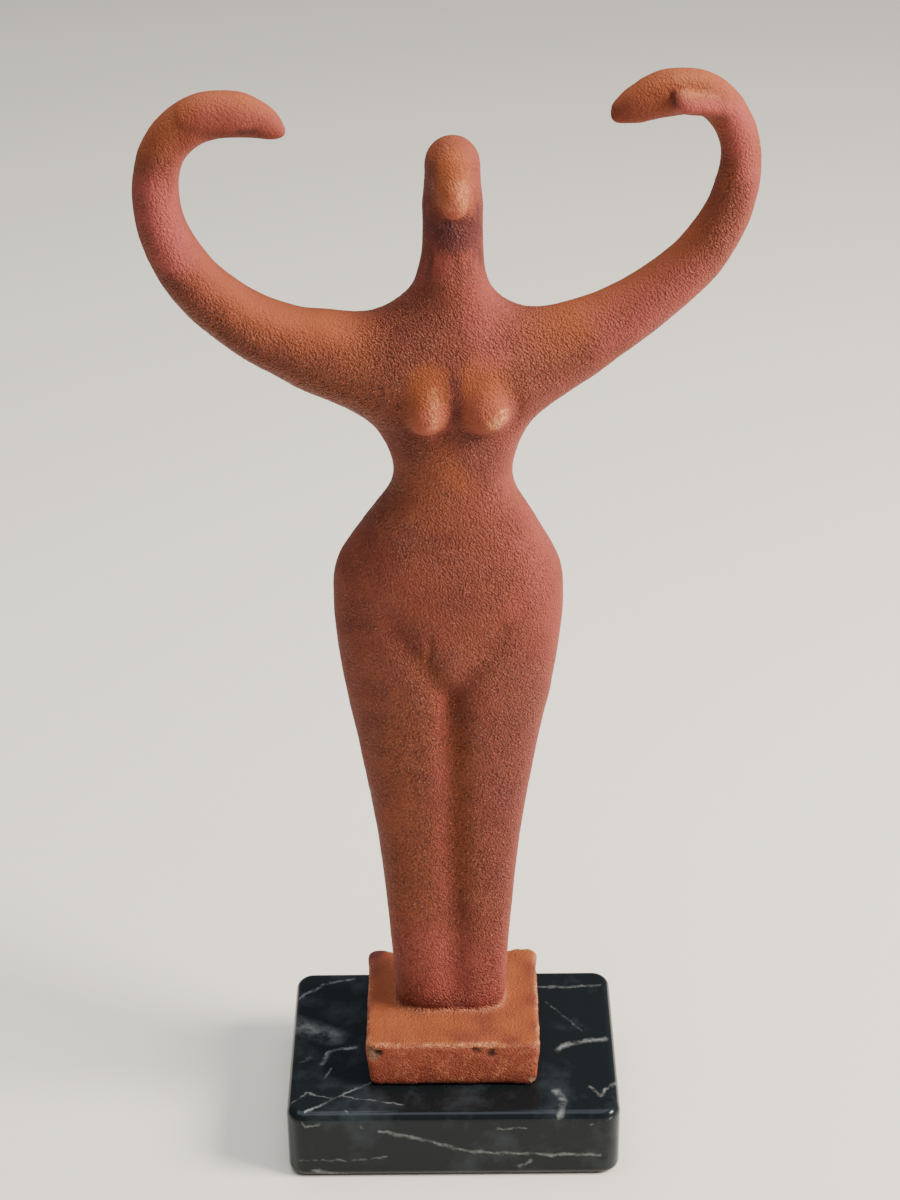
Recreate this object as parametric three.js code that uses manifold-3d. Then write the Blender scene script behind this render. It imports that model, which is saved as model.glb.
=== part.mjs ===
// A raised-arm, bird-headed figurine, cast in one piece with its block, on a slab of black marble.
// Millimetres, +Z up, +X to the viewer's right, the figure's front towards -Y.
// The origin is the middle of the slab's underside.

import * as THREE from 'three';
import { RoundedBoxGeometry } from 'three/addons/geometries/RoundedBoxGeometry.js';
import { mergeVertices } from 'three/addons/utils/BufferGeometryUtils.js';
import Module from 'manifold-3d';

// The polished slab and the cast block that stands on it.
const SLAB = { width: 100, depth: 70, height: 24, corner: 5.5, edge: 2.8, edgeSteps: 3 };
const BLOCK = { width: 52.6, depth: 46, height: 16.4, back: 0.7, edge: 1.8, edgeSteps: 2, taper: 1.3 };

// The figure's middle plane lies this far behind the slab's, and its foot is sunk into the block.
const FIGURE_BACK = 2;
const FOOT_SINK = 2;
const FOOT_LEVEL = SLAB.height + BLOCK.height;

// Levels up the trunk. Height is above the block; middle is the lean to the viewer's right;
// front and back are depths from the middle plane; square is 2 for an oval, more for a rounded block.
const TRUNK = [
  { at: 'sole', height: -4, middle: -0.5, half: 16.2, front: 8.9, back: 10.4, square: 3.2 },
  { at: 'ankle', height: 20, middle: -0.6, half: 17.6, front: 9.4, back: 11, square: 3 },
  { at: 'shin', height: 60, middle: -0.5, half: 20.9, front: 10.9, back: 12.4, square: 2.7 },
  { at: 'knee', height: 90, middle: -0.5, half: 25.3, front: 12.6, back: 14, square: 2.5 },
  { at: 'thigh', height: 120, middle: -0.2, half: 30.4, front: 14.2, back: 16.6, square: 2.4 },
  { at: 'hip', height: 138, middle: 0, half: 32.1, front: 14.2, back: 17.4, square: 2.3 },
  { at: 'belly', height: 151, middle: 0, half: 31.1, front: 13.6, back: 15.6, square: 2.3 },
  { at: 'flank', height: 163, middle: 0.5, half: 24.6, front: 12.2, back: 13, square: 2.2 },
  { at: 'waist', height: 177.5, middle: 1.6, half: 16.4, front: 10.8, back: 10.6, square: 2.2 },
  { at: 'ribs', height: 192, middle: 1.6, half: 19.2, front: 11.2, back: 10.8, square: 2.2 },
  { at: 'chest', height: 208, middle: 1.2, half: 24.6, front: 11.2, back: 10.8, square: 2.2 },
  { at: 'collar', height: 226, middle: 1.2, half: 14.2, front: 9.8, back: 9.2, square: 2 },
  { at: 'throat', height: 233, middle: 1.5, half: 10.2, front: 8.9, back: 8.6, square: 2 },
  { at: 'neck', height: 243, middle: 2.1, half: 8.1, front: 8, back: 8, square: 2 },
  { at: 'nape', height: 256, middle: 2.2, half: 7.6, front: 7.2, back: 7.3, square: 2 },
  { at: 'skull', height: 268, middle: 2.2, half: 4.6, front: 4.6, back: 4.2, square: 2 },
];
const NECK_TOP = 267;

// Levels along each arm, from inside the chest to the fingertips: place across and up in the
// middle plane, radius there, and the depth as a share of that radius.
const VIEWER_LEFT_ARM = [
  { at: 'root', across: -7, up: 210.2, radius: 12.8, flat: 0.74 },
  { at: 'shoulder', across: -28, up: 213.2, radius: 12.5, flat: 0.8 },
  { at: 'upper arm', across: -41, up: 217.3, radius: 10, flat: 0.88 },
  { at: 'elbow', across: -54, up: 224.2, radius: 8.5, flat: 0.95 },
  { at: 'forearm', across: -67, up: 236.8, radius: 7.4, flat: 1 },
  { at: 'wrist', across: -73.8, up: 254, radius: 6.3, flat: 1 },
  { at: 'bend', across: -71.6, up: 270.2, radius: 5.9, flat: 1 },
  { at: 'back of hand', across: -62.5, up: 278.5, radius: 6.2, flat: 0.95 },
  { at: 'palm', across: -53, up: 279.7, radius: 6, flat: 0.9 },
  { at: 'fingers', across: -46.4, up: 277.9, radius: 4.6, flat: 0.9 },
  { at: 'fingertips', across: -42.6, up: 275.4, radius: 2.8, flat: 1 },
];
const VIEWER_RIGHT_ARM = [
  { at: 'root', across: 10, up: 210.1, radius: 12.7, flat: 0.74 },
  { at: 'shoulder', across: 29, up: 214.9, radius: 11.8, flat: 0.8 },
  { at: 'upper arm', across: 41, up: 220.8, radius: 9.4, flat: 0.88 },
  { at: 'elbow', across: 54, up: 229.4, radius: 7.8, flat: 0.95 },
  { at: 'forearm', across: 67, up: 241.8, radius: 6.9, flat: 1 },
  { at: 'wrist', across: 74.6, up: 257.5, radius: 5.9, flat: 1 },
  { at: 'bend', across: 75, up: 273, radius: 5.1, flat: 1 },
  { at: 'back of hand', across: 67, up: 283.6, radius: 5.4, flat: 0.95 },
  { at: 'palm', across: 57, up: 284.3, radius: 6.1, flat: 0.9 },
  { at: 'fingers', across: 49.5, up: 281.6, radius: 5, flat: 0.9 },
  { at: 'fingertips', across: 44.8, up: 279.4, radius: 3, flat: 1 },
];
const ARM_STEPS = 72;

// Tapered rolls: two ends, each with its place and radius.
const HEAD = [[2.2, 0, 256, 7.1], [2.2, -0.9, 266.6, 7.2]];
const BEAK = [[2.3, -3.2, 265.4, 5.4], [2.9, -11.2, 258.2, 3.2]];
const BREASTS = [
  [[-4.7, -7.6, 211.8, 4.6], [-5.3, -10.2, 200.6, 6]],
  [[9.9, -7, 212, 5.2], [10.6, -9.4, 201.4, 6.8]],
];
const BUTTOCKS = [
  [[-13, 8.2, 134, 12.8], [-12, 4.6, 112, 11.4]],
  [[13, 8.2, 134, 12.8], [12, 4.6, 112, 11.4]],
];
const THUMB = [[72, -3.2, 280.6, 2.2], [60.2, -5.4, 283.2, 2.9]];

// How far two forms melt into each other where they meet.
const MELT = { arms: 13, head: 2, beak: 3, breasts: 1.8, buttocks: 9, thumb: 0.7 };

// Shallow grooves, as a line from one end to the other on the front or back, with depth and half width.
const CLEFT_TOP = 113;
const GROOVES = [
  { from: [0.6, CLEFT_TOP], to: [0.6, 6], side: -1, depth: 3, width: 3.8 },
  { from: [0.4, CLEFT_TOP], to: [-15, 136], side: -1, depth: 1.3, width: 3.4 },
  { from: [0.4, CLEFT_TOP], to: [15, 136], side: -1, depth: 1.3, width: 3.4 },
  { from: [0, 146], to: [0, 12], side: 1, depth: 2.4, width: 3.4 },
];

// Grid lines that the figure's surface is drawn on, as steps at places along each axis:
// finer at the beak, the breasts and the hands than on the plain shaft of the legs.
const GRID = {
  x: [
    [-88, 3.6], [-54, 3.6], [-48, 2.1], [-38, 2.1], [-32, 4.8], [-15, 2.8], [15, 2.8],
    [32, 4.8], [38, 2.2], [48, 2.2], [56, 2.6], [76, 2.6], [88, 3.4],
  ],
  y: [[-26, 2.8], [-4, 2.8], [4, 3.8], [32, 3.8]],
  z: [[-18, 9.6], [95, 8], [150, 5.2], [188, 3], [214, 3], [236, 3.8], [250, 2.8], [270, 2.5], [300, 2.5]],
};
const SPREAD_ROUNDS = 4;

const wasm = await Module();
wasm.setup();

// 0 below low, 1 above high, and smooth between.
function rise(low, high, value) {
  return THREE.MathUtils.smoothstep(value, low, high);
}

// The lesser of two distances, melted together over a width.
function melt(a, b, width) {
  const near = Math.max(width - Math.abs(a - b), 0) / width;
  return Math.min(a, b) - near * near * width * 0.25;
}

const trunkSizes = TRUNK.map(({ middle, half, front, back, square }) => [middle, half, front, back, square]);
const trunkLevels = new THREE.CubicInterpolant(
  Float32Array.from(TRUNK, (level) => level.height),
  Float32Array.from(trunkSizes.flat()),
  trunkSizes[0].length,
);

// Distance to the trunk: an oval or blocky section at each height.
function trunkField(p) {
  const top = TRUNK[TRUNK.length - 1].height;
  const height = THREE.MathUtils.clamp(p.z, TRUNK[0].height, top);
  const [middle, half, front, back, square] = trunkLevels.evaluate(height);
  const depth = p.y < 0 ? front : back;
  const across = Math.abs(p.x - middle) / half;
  const along = Math.abs(p.y) / depth;
  const reach = Math.max((across ** square + along ** square) ** (1 / square), 0.05);
  const rate = [across ** (square - 1) / half, along ** (square - 1) / depth];
  const slope = Math.hypot(...rate) / reach ** (square - 1);
  return Math.max((reach - 1) / Math.max(slope, 1 / half), p.z - NECK_TOP, -FOOT_SINK - p.z);
}

// Distance to a straight roll between two ends, each [x, y, z, radius].
function rollField(p, [start, end]) {
  const axis = end.map((value, i) => value - start[i]);
  const length2 = axis[0] ** 2 + axis[1] ** 2 + axis[2] ** 2;
  const dot = (p.x - start[0]) * axis[0] + (p.y - start[1]) * axis[1] + (p.z - start[2]) * axis[2];
  const share = THREE.MathUtils.clamp(dot / length2, 0, 1);
  const gap = [p.x, p.y, p.z].map((value, i) => value - start[i] - share * axis[i]);
  return Math.hypot(...gap) - start[3] - share * axis[3];
}

// A limb's smooth middle line, with its radius and flatness at each step.
function limb(levels) {
  const places = levels.map((level) => new THREE.Vector3(level.across, 0, level.up));
  const girths = levels.map((level) => new THREE.Vector3(level.radius, level.flat, 0));
  const line = new THREE.CatmullRomCurve3(places);
  const girth = new THREE.CatmullRomCurve3(girths);
  return Array.from({ length: ARM_STEPS + 1 }, (_, i) => {
    const { x, z } = line.getPoint(i / ARM_STEPS);
    const { x: radius, y: flat } = girth.getPoint(i / ARM_STEPS);
    return { x, z, radius, flat };
  });
}

const limbs = [VIEWER_LEFT_ARM, VIEWER_RIGHT_ARM].map(limb);

// Distance to a limb, as the nearest stretch of its middle line less the radius there.
function limbField(p, steps) {
  let nearest = Infinity;
  for (let i = 0; i < ARM_STEPS; i++) {
    const a = steps[i];
    const b = steps[i + 1];
    const dx = b.x - a.x;
    const dz = b.z - a.z;
    const dot = (p.x - a.x) * dx + (p.z - a.z) * dz;
    const share = THREE.MathUtils.clamp(dot / (dx * dx + dz * dz), 0, 1);
    const flat = THREE.MathUtils.lerp(a.flat, b.flat, share);
    const gap = Math.hypot(p.x - a.x - share * dx, p.y / flat, p.z - a.z - share * dz);
    nearest = Math.min(nearest, gap - THREE.MathUtils.lerp(a.radius, b.radius, share));
  }
  return nearest;
}

// How deep the grooves are cut at a point of the front or the back.
function grooveDepth(p) {
  let deepest = 0;
  for (const { from, to, side, depth, width } of GROOVES) {
    const axis = [to[0] - from[0], to[1] - from[1]];
    const length2 = axis[0] ** 2 + axis[1] ** 2;
    const share = ((p.x - from[0]) * axis[0] + (p.z - from[1]) * axis[1]) / length2;
    const held = THREE.MathUtils.clamp(share, 0, 1);
    const gap = Math.hypot(p.x - from[0] - held * axis[0], p.z - from[1] - held * axis[1]);
    const ends = 1 - 0.6 * held;
    deepest = Math.max(deepest, depth * ends * Math.exp(-((gap / width) ** 2)) * rise(0, 6, side * p.y));
  }
  return deepest;
}

// Distance to the whole figure: under 0 inside, over 0 outside.
function figureField(p) {
  let field = trunkField(p);
  for (const steps of limbs) {
    field = melt(field, limbField(p, steps), MELT.arms);
  }
  for (const roll of BUTTOCKS) {
    field = melt(field, rollField(p, roll), MELT.buttocks);
  }
  for (const roll of BREASTS) {
    field = melt(field, rollField(p, roll), MELT.breasts);
  }
  field = melt(field, melt(rollField(p, HEAD), rollField(p, BEAK), MELT.beak), MELT.head);
  field = melt(field, rollField(p, THUMB), MELT.thumb);
  return field + grooveDepth(p);
}

// Grid lines along one axis, with steps that change on the way.
function gridLines(places) {
  const step = new THREE.LinearInterpolant(
    Float32Array.from(places, ([place]) => place),
    Float32Array.from(places, ([, size]) => size),
    1,
  );
  const lines = [places[0][0]];
  const end = places[places.length - 1][0];
  let last = lines[0];
  while (last < end) {
    last += step.evaluate(last)[0];
    lines.push(last);
  }
  return lines;
}

// Moves a point along the field's slope on to its surface.
function settle(field, p) {
  const nudge = 0.05;
  const slope = new THREE.Vector3();
  for (let round = 0; round < 3; round++) {
    for (const axis of ['x', 'y', 'z']) {
      const ahead = p.clone();
      const behind = p.clone();
      ahead[axis] += nudge;
      behind[axis] -= nudge;
      slope[axis] = (field(ahead) - field(behind)) / (2 * nudge);
    }
    p.addScaledVector(slope, -field(p) / Math.max(slope.lengthSq(), 0.05));
  }
  return p;
}

// Spreads vertices evenly over the surface: each goes to the middle of its neighbours, then settles.
function spread(field, vertices, quads) {
  for (let round = 0; round < SPREAD_ROUNDS; round++) {
    const sums = vertices.map(() => new THREE.Vector3());
    const counts = vertices.map(() => 0);
    for (const quad of quads) {
      for (let i = 0; i < 4; i++) {
        sums[quad[i]].add(vertices[quad[(i + 1) % 4]]);
        sums[quad[i]].add(vertices[quad[(i + 3) % 4]]);
        counts[quad[i]] += 2;
      }
    }
    vertices.forEach((vertex, i) => settle(field, vertex.lerp(sums[i].divideScalar(counts[i]), 0.7)));
  }
}

// A closed mesh of a field's surface: one vertex in each grid cell that the surface crosses,
// and one four-sided face across each grid edge that it cuts.
function surfaceOf(field, grid) {
  const lines = [gridLines(grid.x), gridLines(grid.y), gridLines(grid.z)];
  const [nx, ny, nz] = lines.map((line) => line.length);
  const index = (i, j, k) => (k * ny + j) * nx + i;
  const values = new Float32Array(nx * ny * nz);
  const corner = new THREE.Vector3();
  for (let k = 0; k < nz; k++) {
    for (let j = 0; j < ny; j++) {
      for (let i = 0; i < nx; i++) {
        corner.set(lines[0][i], lines[1][j], lines[2][k]);
        values[index(i, j, k)] = field(corner);
      }
    }
  }

  const vertices = [];
  const vertexOfCell = new Map();
  const place = (i, j, k) => new THREE.Vector3(lines[0][i], lines[1][j], lines[2][k]);
  const cellVertex = (i, j, k) => {
    const cell = index(i, j, k);
    if (vertexOfCell.has(cell)) {
      return vertexOfCell.get(cell);
    }
    const sum = new THREE.Vector3();
    let crossings = 0;
    for (let axis = 0; axis < 3; axis++) {
      for (const u of [0, 1]) {
        for (const v of [0, 1]) {
          const start = [i, j, k];
          start[(axis + 1) % 3] += u;
          start[(axis + 2) % 3] += v;
          const end = [...start];
          end[axis] += 1;
          const a = values[index(...start)];
          const b = values[index(...end)];
          if (a < 0 === b < 0) {
            continue;
          }
          sum.add(place(...start).lerp(place(...end), a / (a - b)));
          crossings++;
        }
      }
    }
    vertices.push(settle(field, sum.divideScalar(crossings)));
    vertexOfCell.set(cell, vertices.length - 1);
    return vertices.length - 1;
  };

  const quads = [];
  for (let k = 1; k < nz - 1; k++) {
    for (let j = 1; j < ny - 1; j++) {
      for (let i = 1; i < nx - 1; i++) {
        const inside = values[index(i, j, k)] < 0;
        for (let axis = 0; axis < 3; axis++) {
          const next = [i, j, k];
          next[axis] += 1;
          if (inside === values[index(...next)] < 0) {
            continue;
          }
          const ring = [[-1, -1], [0, -1], [0, 0], [-1, 0]].map(([u, v]) => {
            const cell = [i, j, k];
            cell[(axis + 1) % 3] += u;
            cell[(axis + 2) % 3] += v;
            return cellVertex(...cell);
          });
          quads.push(inside ? ring : ring.reverse());
        }
      }
    }
  }
  spread(field, vertices, quads);

  const faces = quads.flatMap(([a, b, c, d]) => {
    const short = vertices[a].distanceTo(vertices[c]) < vertices[b].distanceTo(vertices[d]);
    return short ? [a, b, c, a, c, d] : [b, c, d, b, d, a];
  });
  const geometry = new THREE.BufferGeometry();
  const places = vertices.flatMap((vertex) => vertex.toArray());
  geometry.setAttribute('position', new THREE.Float32BufferAttribute(places, 3));
  geometry.setIndex(faces);
  return geometry;
}

// A solid for joining, from a closed geometry.
function solidOf(geometry) {
  const bare = new THREE.BufferGeometry();
  bare.setAttribute('position', geometry.getAttribute('position'));
  bare.setIndex(geometry.getIndex());
  const merged = mergeVertices(bare, 1e-4);
  return new wasm.Manifold(new wasm.Mesh({
    numProp: 3,
    vertProperties: new Float32Array(merged.getAttribute('position').array),
    triVerts: new Uint32Array(merged.getIndex().array),
  }));
}

// A geometry from a joined solid.
function geometryOf(solid) {
  const { vertProperties, triVerts } = solid.getMesh();
  const geometry = new THREE.BufferGeometry();
  geometry.setAttribute('position', new THREE.BufferAttribute(vertProperties, 3));
  geometry.setIndex(new THREE.BufferAttribute(triVerts, 1));
  geometry.computeVertexNormals();
  return geometry;
}

// A rectangle with round corners, seen from above.
function roundedRectangle(width, depth, corner) {
  const x = width / 2;
  const y = depth / 2;
  const shape = new THREE.Shape();
  shape.absarc(x - corner, -y + corner, corner, -Math.PI / 2, 0);
  shape.absarc(x - corner, y - corner, corner, 0, Math.PI / 2);
  shape.absarc(-x + corner, y - corner, corner, Math.PI / 2, Math.PI);
  shape.absarc(-x + corner, -y + corner, corner, Math.PI, Math.PI * 1.5);
  return shape;
}

// The marble slab: a rectangle with round corners and round edges.
function slabGeometry() {
  const { width, depth, height, corner, edge, edgeSteps } = SLAB;
  const outline = roundedRectangle(width - 2 * edge, depth - 2 * edge, corner - edge);
  const geometry = new THREE.ExtrudeGeometry(outline, {
    depth: height - 2 * edge,
    bevelThickness: edge,
    bevelSize: edge,
    bevelSegments: edgeSteps,
    curveSegments: edgeSteps,
  });
  return geometry.translate(0, 0, edge);
}

// The block under the figure, a little narrower at the bottom.
function blockGeometry() {
  const { width, depth, height, back, edge, edgeSteps, taper } = BLOCK;
  const geometry = new RoundedBoxGeometry(width, depth, height, edgeSteps, edge);
  const places = geometry.getAttribute('position');
  for (let i = 0; i < places.count; i++) {
    const drop = 0.5 - places.getZ(i) / height;
    places.setX(i, places.getX(i) * (1 - 2 * taper * drop / width));
    places.setY(i, places.getY(i) * (1 - taper * drop / depth));
  }
  return geometry.translate(0, back, SLAB.height + height / 2);
}

// The figure and its block as the one casting that they are.
function castingGeometry() {
  const figure = surfaceOf(figureField, GRID).translate(0, FIGURE_BACK, FOOT_LEVEL);
  return geometryOf(solidOf(figure).add(solidOf(blockGeometry())));
}

const castStone = new THREE.MeshStandardMaterial({ color: '#a3563c', roughness: 0.72, metalness: 0 });
const blackMarble = new THREE.MeshStandardMaterial({ color: '#23262a', roughness: 0.22, metalness: 0 });

const figurine = new THREE.Mesh(castingGeometry(), castStone);
figurine.name = 'figurine';
const slab = new THREE.Mesh(slabGeometry(), blackMarble);
slab.name = 'marble_base';

const part = new THREE.Group();
part.add(slab, figurine);
export default part;
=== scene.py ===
"""A raised-arm, bird-headed figurine of painted cast stone on a slab of black marble.

Everything is in metres in the part's own frame: +Z up, the figure's front towards -Y, the origin in the
middle of the slab's underside. Sizes are written in millimetres and turned to metres with MM.
"""

import math

import bmesh
import bpy
from mathutils import Matrix, Vector, noise


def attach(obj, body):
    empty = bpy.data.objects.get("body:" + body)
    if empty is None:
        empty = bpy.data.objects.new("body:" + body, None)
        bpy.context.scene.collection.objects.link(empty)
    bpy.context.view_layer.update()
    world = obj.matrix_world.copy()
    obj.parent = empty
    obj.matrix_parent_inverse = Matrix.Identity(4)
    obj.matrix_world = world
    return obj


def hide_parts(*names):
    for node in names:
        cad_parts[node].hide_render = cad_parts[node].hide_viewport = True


MM = 0.001

# Vector noise takes its offsets from this seed, and from the clock without one.
NOISE_SEED = 1
noise.seed_set(NOISE_SEED)

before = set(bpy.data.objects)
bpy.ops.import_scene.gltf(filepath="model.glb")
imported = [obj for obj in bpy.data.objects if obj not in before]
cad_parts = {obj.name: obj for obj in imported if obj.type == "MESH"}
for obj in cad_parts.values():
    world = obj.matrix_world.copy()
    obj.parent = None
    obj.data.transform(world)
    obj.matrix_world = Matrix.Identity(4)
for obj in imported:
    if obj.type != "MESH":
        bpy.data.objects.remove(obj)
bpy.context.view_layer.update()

# The camera's place, its tilt down, its turn, its roll and its lens, as found from the straight edges
# of the slab and the block.
CAMERA_PLACE = (2.5, -609, 520.9)
CAMERA_DOWN = math.radians(29.23)
CAMERA_TURN = math.radians(-0.19)
CAMERA_ROLL = math.radians(-0.6)
CAMERA_LENS = 75

# The block under the figure, in millimetres: its size, its middle and how much narrower it is below.
BLOCK_SIZE = (52.6, 46, 16.4)
BLOCK_MIDDLE = (0, 0.7, 32.2)
BLOCK_TAPER = 1.3
BLOCK_CUTS_ACROSS = 17
BLOCK_CUTS_UP = 5
FOOT_LEVEL = 40.4
FOOT_CUT = 0.9
FOOT_SINK = 4

# How fine the casting's skin is meshed, and how far its coarse form is swollen before it is softened,
# so that softening brings it back to size.
SKIN_SPACING = 0.82
SKIN_SMOOTHING = 4
SWELL = 0.6

# The slab, in millimetres.
SLAB_SIZE = (100, 70, 24)
SLAB_CORNER = 5.5
SLAB_EDGE = 2.8

# Where the figure's parts fade in or out, in millimetres: across from its middle, or up.
FIGURE_MIDDLE = 2
ARM_ACROSS = (12, 34)
ARM_UP = (236, 258)
HAND_ACROSS = (30, 44)
HAND_UP = (300, 318)
CROWN_ACROSS = (20, 30)
CROWN_UP = (306, 312)
NECK_ACROSS = (14, 24)
NECK_BOTTOM = (272, 284)
NECK_TOP = (296, 304)
LEGS_UP = (110, 190)
FOOT_FADE = (FOOT_LEVEL - 0.2, FOOT_LEVEL + 1.6)
# Below the knee, what is further out than the foot belongs to the block.
FOOT_REACH = 20
KNEE_LEVEL = 60

# Sizes in millimetres of the uneven places in the figure's paint and skin.
CLOUD = 17
FLECK = 5
CRUMB = 1.3
STREAK_ACROSS = 1.7
STREAK_UP = 11
GRAIN = 1.05
GRAIN_OUT = 0.12
BULGE = 7
BULGE_OUT = 0.12

# The block's uneven places, in millimetres.
PIT = 2.1
PIT_DEEP = 0.55
LIP_OUT = 0.4
LIP_WIDE = (0.3, 1.9)
LIP_UP = (38.4, 39.8)
LOW_EDGE_UP = (24.6, 26)
DARK_CORNER = (-24.5, 22.5, 40)

# What the paint needs to know at each place on the casting, with painted shade and highlights among it.
PAINT_MARKS = ("stipple", "orange", "rose", "stain", "worn", "chip", "hole")

# The terracotta wash, thick and thin, what lies over it and what shows where it is scuffed or broken,
# with painted shade and painted highlights among them.
WASH_THICK = "#6a2f21"
WASH_THIN = "#80402e"
ORANGE = "#944e2c"
ROSE = "#9a4a44"
# Purple of real staining, and also painted shade under the beak, breasts and thumb and on the hand's
# underside.
STAIN_AND_SHADE = "#4c2428"
HOLLOW = "#3a1912"
# Pale scuffed paint, and also painted highlights and glints on edges, grain crests, thumb, breasts and
# fillet.
RUBBED_AND_HIGHLIT = "#c4855e"
BROKEN = "#a08870"
HOLE = "#3a1e12"

# The finest grain, in millimetres: its cells, how far and how often they wander, their depth, the grit
# over them, and the wider patches where the wash is thick or many grain crests are scuffed
# and carry painted glints.
CELL = 0.55
CELL_STRETCH = 1.5
CELL_TURN = math.radians(-40)
CELL_WANDER = 1.7
CELL_DRIFT = 3.5
CELL_DEEP = 0.9
GRIT = 0.6
WASH_PATCH = 14
SCUFF_AND_GLINT_PATCH = 6
CAST_STONE_SHEEN = 0.2

# The marble's colours and polish, and in millimetres its clouds and how its veins wander and break.
MARBLE_DARK = "#14181a"
MARBLE_HAZE = "#33393d"
VEIN_PALE = "#a9aeab"
MARBLE_CLOUD = 18
VEIN_DRIFT = 5
VEIN_WANDER = 3.6
VEIN_BREAK = 5
MARBLE_ROUGHNESS = 0.13
MARBLE_SHEEN = 0.3
MARBLE_SHEEN_TINT = "#bcc6d0"

# The floor's colour and half its width in metres, and the pale room's colour and strength.
FLOOR = "#f8f2e4"
FLOOR_HALF = 4
ROOM = "#e4e9f0"
ROOM_STRENGTH = 0.3

# Soft lights: name, place, where they aim and width in metres, power in watts, and colour.
LIGHTS = (
    ("window", (1.05, -0.28, 0.88), (0, 0, 0.15), 0.5, 40, "#fff6ea"),
    ("overhead", (-0.1, 0.05, 1.35), (0, 0, 0.1), 1.2, 17, "#f6f8ff"),
)

# Lines in the front view, each from one place across and up to another, with how far they reach.
BREASTS = (((-4.8, 251), (-5.2, 242), 6.4), ((9.8, 251), (10.4, 243), 7.6))
BEAK = ((2.3, 309), (2.9, 299), 5.2)

# Patches of paint, scuffs, painted shade and painted highlights on the figure's front: what they are,
# from where to where, reach and strength.
PATCHES = (
    ("rose", (-73, 300), (-69, 284), 6, 1),
    ("rose", (-58, 322), (-46, 320), 4, 0.4),
    ("rose", (74, 320), (78, 306), 4, 0.9),
    ("rose", (60, 323.4), (71, 322), 2.6, 0.8),
    ("rose", (46, 262), (64, 274), 9, 0.7),
    ("rose", (25, 200), (27, 186), 9, 0.6),
    ("rose", (9, 268), (12, 258), 5, 0.5),
    ("rose", (2.6, 299), (3, 296.4), 3, 0.5),
    ("rose", (-5, 241), (-5.2, 238), 4, 0.5),
    ("rose", (9.6, 244), (10, 240), 5, 0.35),
    ("rose", (-8, 62), (8, 46), 14, 0.6),
    ("orange", (3, 140), (4, 90), 4, 0.4),
    ("orange", (-15, 150), (-11, 60), 7, 0.4),
    ("orange", (-14, 214), (-6, 218), 9, 0.35),
    ("orange", (-2, 226), (2, 222), 5, 0.5),
    # Painted shade along the other hand's underside; the next patch is real purple staining.
    ("stain", (-60, 315.6), (-46, 315.4), 1.6, 0.3),
    ("stain", (-51, 316.8), (-47.6, 317), 1.2, 0.75),
    # Painted shade in the notch at the thumb's tip.
    ("stain", (57.2, 326), (57.7, 324), 0.9, 0.6),
    ("stain", (-4.2, 308), (-4.6, 297), 2.2, 0.45),
    # Painted shadow under the thumb.
    ("stain", (60, 320.8), (71, 319.4), 1.1, 0.4),
    # Painted shadow under the beak, partly purple staining.
    ("stain", (-2, 291.4), (6, 290), 5, 0.8),
    # Painted shade under and between the breasts.
    ("stain", (8, 234), (11, 226), 6, 0.35),
    ("stain", (-12, 234), (-9, 228), 5, 0.3),
    ("stain", (2.8, 252), (2.8, 240), 1.8, 0.5),
    ("stain", (22, 160), (16, 80), 8, 0.25),
    ("stain", (-1, 315), (5, 315), 4, 0.2),
    # Painted highlights on the breasts, partly scuffed paint.
    ("worn", (-3.2, 249), (-3.6, 240), 1.2, 0.45),
    ("worn", (12.6, 240.4), (14.8, 242), 1.5, 1),
    ("worn", (4.4, 304), (5, 299), 1.4, 0.5),
    # Painted highlights on the thumb's top edge and on the hand's upper ridge.
    ("worn", (59.6, 326.4), (68, 325.4), 0.9, 0.3),
    ("worn", (58.4, 329.2), (65, 329), 1, 0.15),
)

# Low forms with a clear edge, in the front view: from where to where, half width and how far they stand
# out. They are the thumb, and the face of the other hand above its underside.
RAISED = (
    ((59.6, 324.5), (70, 323.2), 2.3, 0.7),
    ((-63, 322.4), (-46.4, 321.2), 4.6, 0.45),
)

# Marks on the figure's front, as lines in the front view: half width, and how far out or in they go.
MARKS = (
    ((56.9, 325.8), (57.5, 323.8), 0.7, -0.9),
    ((58, 329), (66, 328.8), 1.4, 0.3),
    ((0.4, 154), (-15, 176), 2.6, -0.5),
    ((0.4, 154), (15, 176), 2.6, -0.5),
    ((-5.1, 174.4), (-5.3, 167.6), 0.8, -0.5),
    ((-2.7, 305), (0.8, 296.6), 0.7, 0.3),
    ((0, 293.4), (6, 292.6), 1.1, -0.7),
)

# Broken places on the block: where, how wide, how deep and how pale.
CHIPS = (
    ((-23.8, -22.6, 36.6), 3, 0.8, 0.6),
    ((-22.5, -22.8, 37.1), 1.4, 1.5, 0),
    ((-25.6, -22, 38.6), 1.9, 0.7, 0.5),
    ((24.4, -22.2, 25.8), 2.1, 0.9, 0.9),
    ((7, -22.6, 38), 1.6, 0.7, 0.1),
    ((11.4, -22.6, 36.8), 2, 0.8, 0.1),
    ((-4, 24, 38.4), 2.4, 0.7, 0.3),
    ((26.4, 12, 29), 2.1, 0.7, 0.4),
    ((-26.2, 6, 34), 2.3, 0.7, 0.2),
)
# Humps at the block's back corners: where, how wide and how high.
HUMPS = (((-23, 22.4, 40.4), 5.6, 0.9), ((22, 22.4, 40.4), 7, 0.9))

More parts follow.
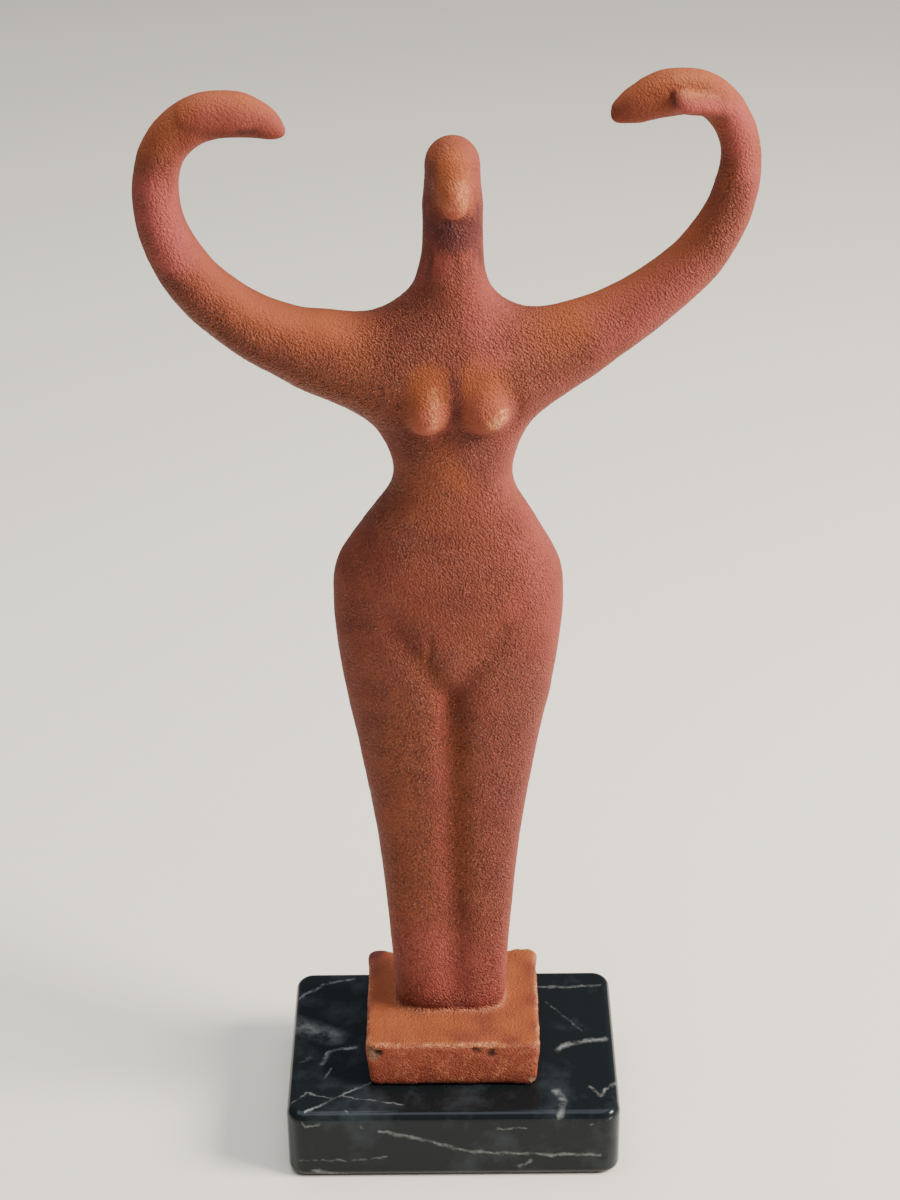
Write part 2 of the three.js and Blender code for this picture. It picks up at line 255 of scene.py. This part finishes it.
# Veins in the marble: half width, strength and the places that they run through. The first are on the
# top, the next on the front, and the last on the sides and the back.
VEINS = (
    (0.8, 0.4, ((-49, 21, 24), (-41, 28, 24), (-32, 31, 24))),
    (5, 0.35, ((-50, 9, 24), (-44, 6, 24), (-37, 2, 24))),
    (0.9, 0.5, ((-40, -11, 24), (-38, -5, 24), (-30, -3, 24))),
    (0.6, 0.4, ((-39, -18, 24), (-37, -13, 24))),
    (1, 0.45, ((-50, -12, 22), (-44, -8, 24))),
    (0.6, 0.5, ((-44, -33, 24), (-33, -25, 24), (-25, -20, 24))),
    (0.45, 0.4, ((-33, -26, 24), (-15, -30, 24))),
    (0.5, 0.45, ((-49, -29, 24), (-44, -24, 24), (-37, -27, 24))),
    (0.7, 0.4, ((27, 26, 24), (39, 26, 24), (47, 27, 24))),
    (1.3, 0.55, ((32, -5, 24), (36, -2, 24), (47, 0, 24))),
    (1.5, 0.6, ((31, -24, 24), (33, -29, 24), (32, -34, 23))),
    (0.8, 0.5, ((41, -22, 24), (44, -27, 24), (49, -20, 23))),
    (0.4, 0.25, ((29, 19, 24), (40, 4, 24))),
    (0.8, 0.5, ((-22, -35, 18), (-10, -35, 15), (5, -35, 10), (20, -35, 9), (44, -35, 8))),
    (0.5, 0.45, ((13, -35, 19), (22, -35, 19))),
    (0.5, 0.35, ((-47, -35, 7), (-28, -35, 7), (-20, -35, 8))),
    (0.9, 0.55, ((-42, -35, 3), (-33, -35, 1))),
    (0.9, 0.55, ((20, -35, 4), (23, -35, 6))),
    (0.5, 0.4, ((-47, -35, 24), (-44, -35, 20), (-40, -35, 21))),
    (0.5, 0.4, ((41, -35, 20), (47, -34, 22))),
    (0.4, 0.35, ((-32, -33, 24), (-27, -35, 19))),
    (0.8, 0.5, ((50, -22, 6), (50, 0, 13), (50, 20, 19))),
    (0.8, 0.5, ((-50, -12, 22), (-50, -2, 14), (-50, 16, 8))),
    (0.9, 0.5, ((-38, 35, 21), (-12, 35, 14), (14, 35, 12), (42, 35, 5))),
    (0.5, 0.4, ((10, 35, 20), (30, 35, 15))),
)


def make_camera():
    """A camera that looks down on the figure from the front."""
    right = Vector((math.cos(CAMERA_TURN), -math.sin(CAMERA_TURN), 0))
    level = Vector((math.sin(CAMERA_TURN), math.cos(CAMERA_TURN), 0))
    ahead = level * math.cos(CAMERA_DOWN) - Vector((0, 0, math.sin(CAMERA_DOWN)))
    axes = Matrix((right, right.cross(ahead), -ahead)).transposed().to_4x4()
    camera = bpy.data.objects.new("camera", bpy.data.cameras.new("camera"))
    camera.data.lens = CAMERA_LENS
    place = Matrix.Translation(Vector(CAMERA_PLACE) * MM)
    camera.matrix_world = place @ axes @ Matrix.Rotation(CAMERA_ROLL, 4, "Z")
    bpy.context.scene.collection.objects.link(camera)
    bpy.context.scene.camera = camera


def rise(low, high, value):
    """0 below low, 1 above high, and smooth between."""
    share = min(max((value - low) / (high - low), 0), 1)
    return share * share * (3 - 2 * share)


def piece_from(bm, name):
    """A new object from a bmesh, at the origin."""
    mesh = bpy.data.meshes.new(name)
    bm.to_mesh(mesh)
    bm.free()
    piece = bpy.data.objects.new(name, mesh)
    bpy.context.scene.collection.objects.link(piece)
    return piece


def add_figure(bm):
    """The CAD figure, cut off just above its block and closed again a little lower."""
    bm.from_mesh(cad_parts["figurine"].data)
    bmesh.ops.remove_doubles(bm, verts=bm.verts, dist=0.001 * MM)
    bmesh.ops.bisect_plane(
        bm,
        geom=bm.verts[:] + bm.edges[:] + bm.faces[:],
        plane_co=(0, 0, (FOOT_LEVEL + FOOT_CUT) * MM),
        plane_no=(0, 0, 1),
        clear_inner=True,
    )
    rim = [edge for edge in bm.edges if edge.is_boundary]
    skirt = bmesh.ops.extrude_edge_only(bm, edges=rim)["geom"]
    low = [item for item in skirt if isinstance(item, bmesh.types.BMVert)]
    bmesh.ops.translate(bm, verts=low, vec=(0, 0, -FOOT_SINK * MM))
    bmesh.ops.holes_fill(bm, edges=[edge for edge in bm.edges if edge.is_boundary])
    bmesh.ops.join_triangles(
        bm,
        faces=bm.faces,
        angle_face_threshold=math.radians(40),
        angle_shape_threshold=math.radians(60),
    )
    bmesh.ops.smooth_vert(
        bm, verts=bm.verts, factor=-SWELL, use_axis_x=True, use_axis_y=True, use_axis_z=True,
    )


def add_block(bm):
    """The block, in faces small enough that softening only rounds its edges."""
    block = bmesh.new()
    bmesh.ops.create_cube(block, size=1)
    upright = [edge for edge in block.edges if abs(edge.verts[0].co.z - edge.verts[1].co.z) > 0.5]
    bmesh.ops.subdivide_edges(block, edges=upright, cuts=BLOCK_CUTS_UP)
    level = [edge for edge in block.edges if abs(edge.verts[0].co.z - edge.verts[1].co.z) < 0.01]
    bmesh.ops.subdivide_edges(block, edges=level, cuts=BLOCK_CUTS_ACROSS, use_grid_fill=True)
    for vert in block.verts:
        drop = 0.5 - vert.co.z
        vert.co.x *= BLOCK_SIZE[0] - 2 * BLOCK_TAPER * drop
        vert.co.y *= BLOCK_SIZE[1] - BLOCK_TAPER * drop
        vert.co.z *= BLOCK_SIZE[2]
        vert.co = (vert.co + Vector(BLOCK_MIDDLE)) * MM
    mesh = bpy.data.meshes.new("block")
    block.to_mesh(mesh)
    block.free()
    bm.from_mesh(mesh)
    bpy.data.meshes.remove(mesh)


def fine_skin(piece):
    """Softens the casting's form, joins figure and block, and gives it one fine, even skin."""
    soften = piece.modifiers.new("soften", "SUBSURF")
    soften.levels = 2
    soften.render_levels = 2
    join = piece.modifiers.new("join", "REMESH")
    join.mode = "VOXEL"
    join.voxel_size = SKIN_SPACING * MM
    smooth = piece.modifiers.new("smooth", "SMOOTH")
    smooth.factor = 0.5
    smooth.iterations = SKIN_SMOOTHING
    depsgraph = bpy.context.evaluated_depsgraph_get()
    skin = bpy.data.meshes.new_from_object(piece.evaluated_get(depsgraph))
    piece.modifiers.clear()
    piece.data = skin


def near_line(p, start, end):
    """Distance in the front view from a point to a line between two places."""
    along = (end[0] - start[0], end[1] - start[1])
    share = (p.x - start[0]) * along[0] + (p.z - start[1]) * along[1]
    share = min(max(share / (along[0] ** 2 + along[1] ** 2), 0), 1)
    return math.hypot(p.x - start[0] - share * along[0], p.z - start[1] - share * along[1])


def near_breast(p):
    """Distance to the nearer breast as a share of its reach, and 0 at its top to 1 at its lower end."""
    found = min((near_line(p, start, end) / reach, start[1]) for start, end, reach in BREASTS)
    return found[0], rise(6, -10, p.z - found[1] + 2)


def figure_marks(p, n):
    """How stippled, orange, rosy, stained and scuffed the figure is, by place and outward direction, with
    painted light on its upper and right-facing sides, and painted shade and highlights among its marks.
    """
    across = abs(p.x - FIGURE_MIDDLE)
    cloud = noise.noise(p / CLOUD)
    fleck = noise.noise(p / FLECK + Vector((7, 1, 4)))
    streak = noise.noise(Vector((p.x / STREAK_ACROSS, p.y / STREAK_ACROSS, p.z / STREAK_UP)))
    crumb = noise.noise(p / CRUMB)
    front = rise(-0.4, 0.5, -n.y)
    upper = rise(-0.05, 0.75, n.z + 0.3 * cloud + 0.15 * fleck)
    side = rise(0.5, 0.95, abs(n.x))

    # Each part of the figure, as a share from 0 to 1.
    arm = rise(*ARM_ACROSS, across) * rise(*ARM_UP, p.z)
    hand = rise(*HAND_UP, p.z + 4 * fleck) * rise(*HAND_ACROSS, abs(p.x))
    beak = front * (1 - rise(0.55, 1.35, near_line(p, BEAK[0], BEAK[1]) / BEAK[2] + 0.2 * fleck))
    crown = rise(*CROWN_UP, p.z + 2 * fleck) * (1 - rise(*CROWN_ACROSS, abs(p.x)))
    bust = front * (1 - rise(0.55, 1.2, near_breast(p)[0] + 0.15 * fleck))
    neck = rise(*NECK_BOTTOM, p.z) * (1 - rise(*NECK_TOP, p.z))
    neck *= (1 - rise(*NECK_ACROSS, across)) * (1 - beak)

    smooth = max(
        0.7 * beak, 0.55 * bust, 0.75 * arm * upper, 0.7 * hand, 0.4 * side, 0.55 * crown, 0.4 * neck,
    )
    level = 0.8 + 0.35 * (1 - rise(*LEGS_UP, p.z))
    stipple = (1 - smooth) * min(max(level + 0.55 * cloud + 0.3 * fleck, 0.25), 1.3)
    # Upward-facing arms and hands are painted orange: smoother orange paint, and partly painted light from
    # above.
    orange = max(beak, 0.8 * bust, 0.9 * arm * upper, 0.6 * hand * upper, 0.6 * crown)
    orange += (1 - orange) * 0.3 * rise(0, 0.7, cloud + 0.5 * fleck)
    # Right-facing sides are painted rosier: painted light from the right.
    rose = 0.6 * rise(-0.1, 0.85, n.x + 0.2 * fleck)
    stain = neck * (0.2 + 0.8 * front) * (0.3 + 0.5 * cloud + 0.9 * streak) - 0.2 * (1 - front)
    marks = {
        "stipple": stipple,
        "orange": orange,
        "rose": max(rose * (1 - 0.5 * orange), 0.6 * neck * rise(0, 0.4, -streak)),
        "stain": max(stain, 0),
        "worn": 0.2 * beak * rise(0.05, 0.45, noise.noise(p / 1.9)),
    }
    for kind, start, end, reach, share in PATCHES:
        away = near_line(p, start, end) / reach
        if away < 2:
            loose = 1.2 * crumb if kind == "worn" else 0.35 * fleck + 0.3 * streak
            marks[kind] = max(marks[kind], share * front * (1 - rise(0.2, 1.6, away + loose)))
    marks["stipple"] *= 1 - 0.4 * marks["rose"]
    return marks


def figure_height(p, n, stipple):
    """How far the figure's skin stands out: slanting grains, fuller breasts and single marks."""
    bent = p + noise.noise_vector(p / 5) * 1.3
    grain = noise.noise(Vector((bent.x + 0.7 * bent.z, bent.y, 0.55 * (bent.z - bent.x))) / GRAIN)
    height = GRAIN_OUT * stipple * grain + BULGE_OUT * noise.noise(p / BULGE)
    front = rise(0, 0.5, -n.y)
    away, low = near_breast(p)
    fuller = 0.4 * (1 - rise(0.2, 1, away))
    crease = 0.45 * math.exp(-((away - 1.12) / 0.2) ** 2)
    height += front * low * (fuller - crease)
    loose = p + noise.noise_vector(p / 3) * 0.6
    for start, end, width, out in RAISED:
        height += front * out * (1 - rise(0.75, 1.05, near_line(loose, start, end) / width))
    for start, end, width, out in MARKS:
        height += front * out * math.exp(-(near_line(loose, start, end) / width) ** 2)
    return height


def pit(p):
    """How deep in one of the block's scattered pits a place is, from 0 to 1."""
    near = noise.voronoi(p / PIT)[0][0]
    return rise(0.15, 0.5, 0.5 - near) * rise(-0.1, 0.3, noise.noise(p / 5))


def block_marks(p, n):
    """The block's marks for the paint, and how pitted a place is and how much of the lip it is."""
    top = rise(0.45, 0.9, n.z)
    cloud = noise.noise(p / 7)
    from_side = BLOCK_SIZE[0] / 2 - abs(p.x)
    from_end = BLOCK_SIZE[1] / 2 - abs(p.y - BLOCK_MIDDLE[1])
    edge = (1 - rise(*LIP_WIDE, min(from_side, from_end))) * rise(*LIP_UP, p.z)
    jagged = 0.5 + 0.7 * noise.noise(p / 1.5) + 0.5 * noise.noise(p / 8)
    front_or_right = rise(-6, 2, max(p.x - 16, -12 - p.y))
    # The raised lip is painted lighter: scuffed paint and a painted highlight, most on the front and right.
    lip = edge * rise(0.1, 0.8, jagged) * (0.45 + 0.55 * front_or_right)
    pits = (1 - top) * (1 - 0.6 * lip)
    corner = 1 - rise(2, 5, (p - Vector(DARK_CORNER)).length)
    # Darker along the bottom edge, where the block meets the slab.
    low_edge = (1 - rise(*LOW_EDGE_UP, p.z + 0.6 * noise.noise(p / 3))) * 0.8
    marks = {
        "stipple": 0.3 + 0.1 * pits,
        # The top is painted orange: its own orange, and partly painted light from above.
        "orange": max((0.75 + 0.5 * cloud) * top, 0.95 * lip, 0.5 * pits) * (1 - corner),
        "rose": 0.3 * pits,
        # Darker along the bottom edge and in the pits, and stained at the back corner and in patches on the
        # top.
        "stain": max(low_edge, 0.6 * corner, 0.25 * top * rise(0.1, 0.6, -cloud), 0.75 * pits * pit(p)),
        "worn": max(1.2 * lip, 0.45 * pits * rise(0.15, 0.5, noise.noise(p / 1.6))),
        "chip": 0.15 * lip * rise(0.1, 0.5, noise.noise(p / 1.1)),
        "hole": 0,
    }
    return marks, pits, lip


def block_height(p, pits, lip):
    """How far the block's skin stands out: pits 1 to 3 mm wide, uneven faces and the scuffed lip."""
    rough = 0.1 * noise.noise(p / 1.2) + 0.3 * noise.noise(p / 6)
    return pits * (rough - PIT_DEEP * pit(p)) + (1 - pits) * 0.12 * noise.noise(p / 6) + LIP_OUT * lip


def carve_skin(piece):
    """Moves the skin by its grains, pits, lips and chips, and keeps what the paint needs to know."""
    bm = bmesh.new()
    bm.from_mesh(piece.data)
    bm.normal_update()
    layers = {name: bm.verts.layers.float.new(name) for name in PAINT_MARKS}
    moves = []
    for vert in bm.verts:
        p = vert.co / MM
        n = vert.normal
        figure = rise(*FOOT_FADE, p.z)
        beside = abs(p.x) > FOOT_REACH + 0.5 * max(p.z - KNEE_LEVEL, 0)
        before_or_behind = abs(p.y) > FOOT_REACH and p.z < KNEE_LEVEL
        if beside or before_or_behind:
            figure = 0
        marks = {}
        height = 0
        if figure > 0:
            marks = figure_marks(p, n)
            height = figure_height(p, n, marks["stipple"])
        if figure < 1:
            block, pits, lip = block_marks(p, n)
            block_out = block_height(p, pits, lip)
            for place, width, depth, pale in CHIPS:
                away = (p - Vector(place)).length / width + 0.35 * noise.noise(p / 1.3)
                share = 1 - rise(0.4, 1, away)
                block_out -= depth * share
                block["chip"] = max(block["chip"], share * pale)
                block["hole"] = max(block["hole"], share * (1 - pale))
            for place, width, high in HUMPS:
                block_out += high * (1 - rise(0.2, 1, (p - Vector(place)).length / width))
            marks = {name: figure * marks.get(name, 0) + (1 - figure) * block[name] for name in block}
            # A painted highlight along the fillet where the figure meets its block.
            marks["worn"] += 2 * figure * (1 - figure)
            height = figure * height + (1 - figure) * block_out
        for name, value in marks.items():
            vert[layers[name]] = value
        moves.append(n * height * MM)
    for vert, move in zip(bm.verts, moves):
        vert.co += move
    for face in bm.faces:
        face.smooth = True
    bm.to_mesh(piece.data)
    bm.free()


def make_casting():
    """The figure and its block as one casting."""
    bm = bmesh.new()
    add_figure(bm)
    add_block(bm)
    piece = piece_from(bm, "cast_figurine")
    fine_skin(piece)
    carve_skin(piece)
    return piece


def make_slab():
    """The polished slab: upright corners rounded first, then the edges round its top and bottom."""
    bm = bmesh.new()
    corners = bmesh.ops.create_cube(bm, size=1)["verts"]
    for vert in corners:
        vert.co = Vector(vert.co[i] * SLAB_SIZE[i] for i in range(3)) * MM
        vert.co.z += SLAB_SIZE[2] / 2 * MM
    upright = [edge for edge in bm.edges if abs(edge.verts[0].co.z - edge.verts[1].co.z) > 0.5 * MM]
    bmesh.ops.bevel(
        bm, geom=upright, offset=SLAB_CORNER * MM, offset_type="OFFSET", affect="EDGES",
        segments=10, profile=0.5, material=-1,
    )
    around = [edge for edge in bm.edges if abs(edge.verts[0].co.z - edge.verts[1].co.z) < 0.01 * MM]
    bmesh.ops.bevel(
        bm, geom=around, offset=SLAB_EDGE * MM, offset_type="OFFSET", affect="EDGES",
        segments=6, profile=0.5, material=-1,
    )
    for face in bm.faces:
        face.smooth = True
    piece = piece_from(bm, "marble_slab")
    flat = piece.modifiers.new("flat_faces", "WEIGHTED_NORMAL")
    flat.keep_sharp = True
    return piece


def colour(code):
    """Linear colour from an sRGB hex value."""
    channels = [int(code[i:i + 2], 16) / 255 for i in (1, 3, 5)]
    linear = [c / 12.92 if c <= 0.04045 else ((c + 0.055) / 1.055) ** 2.4 for c in channels]
    return (*linear, 1)


def add_node(tree, kind, inputs=None, **settings):
    """Adds a shader node with its settings, and fills or links its inputs."""
    made = tree.nodes.new(kind)
    for name, value in settings.items():
        setattr(made, name, value)
    for socket, value in (inputs or {}).items():
        if isinstance(value, bpy.types.NodeSocket):
            tree.links.new(value, made.inputs[socket])
        else:
            made.inputs[socket].default_value = value
    return made


def new_material(name):
    """An empty material: its node tree, its shader and its object coordinates."""
    material = bpy.data.materials.new(name)
    material.use_nodes = True
    tree = material.node_tree
    shader = tree.nodes["Principled BSDF"]
    place = add_node(tree, "ShaderNodeTexCoord").outputs["Object"]
    return material, tree, shader, place


def texture_noise(tree, place, spacing, detail, roughness=0.5):
    """Noise with features about this many millimetres apart, as its node's outputs."""
    return add_node(
        tree, "ShaderNodeTexNoise",
        {"Vector": place, "Scale": 1 / (spacing * MM), "Detail": detail, "Roughness": roughness},
    ).outputs


def ranged(tree, value, low, high, least=0, most=1):
    """A value that runs from low to high, made to run from least to most and held there."""
    return add_node(
        tree, "ShaderNodeMapRange",
        {"Value": value, "From Min": low, "From Max": high, "To Min": least, "To Max": most},
    ).outputs["Result"]


def laid_over(tree, share, under, code):
    """A colour laid over what is under it, by a share."""
    return add_node(
        tree, "ShaderNodeMix", {"Factor": share, "A": under, "B": colour(code)}, data_type="RGBA",
    ).outputs["Result"]


def number_math(tree, operation, *values, held=False):
    """Sums on numbers, with the result held between 0 and 1 if asked."""
    return add_node(
        tree, "ShaderNodeMath", dict(enumerate(values)), operation=operation, use_clamp=held,
    ).outputs["Value"]


def vector_math(tree, operation, *values):
    """Sums on vectors, as their node's outputs."""
    return add_node(tree, "ShaderNodeVectorMath", dict(enumerate(values)), operation=operation).outputs


def painted_cast_stone():
    """Cast stone with a terracotta wash: matt, grainy, darker in the pits, scuffed lighter on the grains,
    with painted glints on the grain crests and painted shade and highlights among its marks.
    """
    material, tree, shader, place = new_material("painted cast stone")
    marks = {
        name: add_node(tree, "ShaderNodeAttribute", attribute_name=name).outputs["Fac"]
        for name in PAINT_MARKS
    }

    # The finest grain: slanting cells with grit over them.
    drift = texture_noise(tree, place, CELL_DRIFT, 1)["Color"]
    bent = vector_math(tree, "MULTIPLY_ADD", drift, (CELL_WANDER * MM,) * 3, place)["Vector"]
    turned = add_node(
        tree, "ShaderNodeMapping",
        {"Vector": bent, "Rotation": (0, CELL_TURN, 0), "Scale": (1, 1, CELL_STRETCH)},
        vector_type="TEXTURE",
    ).outputs["Vector"]
    cells = add_node(tree, "ShaderNodeTexVoronoi", {"Vector": turned, "Scale": 1 / (CELL * MM)})
    grit = texture_noise(tree, place, GRIT, 2, 0.6)["Fac"]
    height = number_math(tree, "MULTIPLY_ADD", cells.outputs["Distance"], -0.8, grit)
    strength = number_math(tree, "MULTIPLY_ADD", marks["stipple"], 0.8, 0.2, held=True)
    bump = add_node(
        tree, "ShaderNodeBump", {"Strength": strength, "Distance": CELL_DEEP * MM, "Height": height},
    )

    # The wash and the patches in it.
    thin = ranged(tree, texture_noise(tree, place, WASH_PATCH, 5, 0.65)["Fac"], 0.3, 0.7)
    paint = laid_over(tree, thin, colour(WASH_THICK), WASH_THIN)
    paint = laid_over(tree, marks["orange"], paint, ORANGE)
    paint = laid_over(tree, marks["rose"], paint, ROSE)
    # Staining, with painted shade under the beak, breasts and thumb; the block darker low and in its pits.
    paint = laid_over(tree, marks["stain"], paint, STAIN_AND_SHADE)

    # Dark between the grains, and light specks on their crests: scuffed paint and painted glints, with the
    # scuffs and painted highlights of the marks.
    sunk = ranged(tree, height, 0.1, -0.15, 0, 0.45)
    hollow = number_math(tree, "MULTIPLY", sunk, marks["stipple"], held=True)
    paint = laid_over(tree, hollow, paint, HOLLOW)
    raised = ranged(tree, height, 0.36, 0.48, 0, 0.85)
    patches = texture_noise(tree, place, SCUFF_AND_GLINT_PATCH, 2)["Fac"]
    scatter = ranged(tree, patches, 0.35, 0.65, 0.35, 1.1)
    fleck = number_math(tree, "MULTIPLY", raised, scatter)
    speck = ranged(tree, grit, 0.42, 0.58, 0.15, 1)
    specks_of_wear_and_highlight = number_math(tree, "MULTIPLY", marks["worn"], speck)
    rubbed_and_highlit = number_math(tree, "MULTIPLY_ADD", fleck, marks["stipple"], specks_of_wear_and_highlight, held=True)
    paint = laid_over(tree, rubbed_and_highlit, paint, RUBBED_AND_HIGHLIT)

    # Broken places.
    paint = laid_over(tree, marks["chip"], paint, BROKEN)
    paint = laid_over(tree, marks["hole"], paint, HOLE)

    dull = ranged(tree, marks["stipple"], 0.2, 1, 0.78, 0.5)
    tree.links.new(paint, shader.inputs["Base Color"])
    tree.links.new(bump.outputs["Normal"], shader.inputs["Normal"])
    tree.links.new(dull, shader.inputs["Roughness"])
    shader.inputs["Specular IOR Level"].default_value = CAST_STONE_SHEEN
    return material


def vein_line(tree, place, start, end, width, share):
    """How much of a straight run of a vein shows: its share on the line, nothing a half width away."""
    along = (Vector(end) - Vector(start)) * MM
    away = vector_math(tree, "SUBTRACT", place, Vector(start) * MM)["Vector"]
    part = vector_math(tree, "DOT_PRODUCT", away, along / along.length_squared)["Value"]
    held = add_node(tree, "ShaderNodeClamp", {"Value": part}).outputs["Result"]
    foot = add_node(
        tree, "ShaderNodeVectorMath", {0: along, "Scale": held}, operation="SCALE",
    ).outputs["Vector"]
    reach = vector_math(tree, "DISTANCE", away, foot)["Value"]
    return ranged(tree, reach, width * MM, 0, 0, share)


def black_marble():
    """Polished black marble: a dark, bluish ground with grey clouds and pale, broken veins."""
    material, tree, shader, place = new_material("polished black marble")
    haze = ranged(tree, texture_noise(tree, place, MARBLE_CLOUD, 6, 0.65)["Fac"], 0.5, 0.8)
    ground = laid_over(tree, haze, colour(MARBLE_DARK), MARBLE_HAZE)
    drift = texture_noise(tree, place, VEIN_DRIFT, 6, 0.75)["Color"]
    sway = vector_math(tree, "SUBTRACT", drift, (0.5, 0.5, 0.5))["Vector"]
    bent = vector_math(tree, "MULTIPLY_ADD", sway, (VEIN_WANDER * MM,) * 3, place)["Vector"]
    veins = 0
    for width, share, places in VEINS:
        for start, end in zip(places, places[1:]):
            line = vein_line(tree, bent, start, end, width, share)
            veins = number_math(tree, "MAXIMUM", line, veins)
    breaks = texture_noise(tree, place, VEIN_BREAK, 6, 0.7)["Fac"]
    ragged = ranged(tree, breaks, 0.38, 0.64, 0.1, 1.1)
    shown = number_math(tree, "MULTIPLY", veins, ragged)
    tree.links.new(laid_over(tree, shown, ground, VEIN_PALE), shader.inputs["Base Color"])
    shader.inputs["Roughness"].default_value = MARBLE_ROUGHNESS
    shader.inputs["Specular IOR Level"].default_value = MARBLE_SHEEN
    shader.inputs["Specular Tint"].default_value = colour(MARBLE_SHEEN_TINT)
    return material


def make_floor():
    """A wide, plain, pale floor."""
    bm = bmesh.new()
    bmesh.ops.create_grid(bm, x_segments=1, y_segments=1, size=FLOOR_HALF)
    floor = piece_from(bm, "floor")
    material, _, shader, _ = new_material("matt white paper")
    shader.inputs["Base Color"].default_value = colour(FLOOR)
    shader.inputs["Roughness"].default_value = 0.9
    floor.data.materials.append(material)


def make_light(name, place, target, size, power, tint):
    """A square soft light that faces a target."""
    light = bpy.data.lights.new(name, "AREA")
    light.shape = "SQUARE"
    light.size = size
    light.energy = power
    light.color = colour(tint)[:3]
    lamp = bpy.data.objects.new(name, light)
    aim = Vector(target) - Vector(place)
    lamp.matrix_world = Matrix.Translation(place) @ aim.to_track_quat("-Z", "Y").to_matrix().to_4x4()
    bpy.context.scene.collection.objects.link(lamp)


def make_lights():
    """Soft daylight from the upper right, with a pale room around it."""
    world = bpy.data.worlds.new("pale room")
    world.use_nodes = True
    sky = world.node_tree.nodes["Background"]
    sky.inputs["Color"].default_value = colour(ROOM)
    sky.inputs["Strength"].default_value = ROOM_STRENGTH
    bpy.context.scene.world = world
    for light in LIGHTS:
        make_light(*light)


make_camera()

casting = make_casting()
casting.data.materials.append(painted_cast_stone())
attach(casting, "root")
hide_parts("figurine")

slab = make_slab()
slab.data.materials.append(black_marble())
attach(slab, "root")
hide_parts("marble_base")

make_floor()
make_lights()
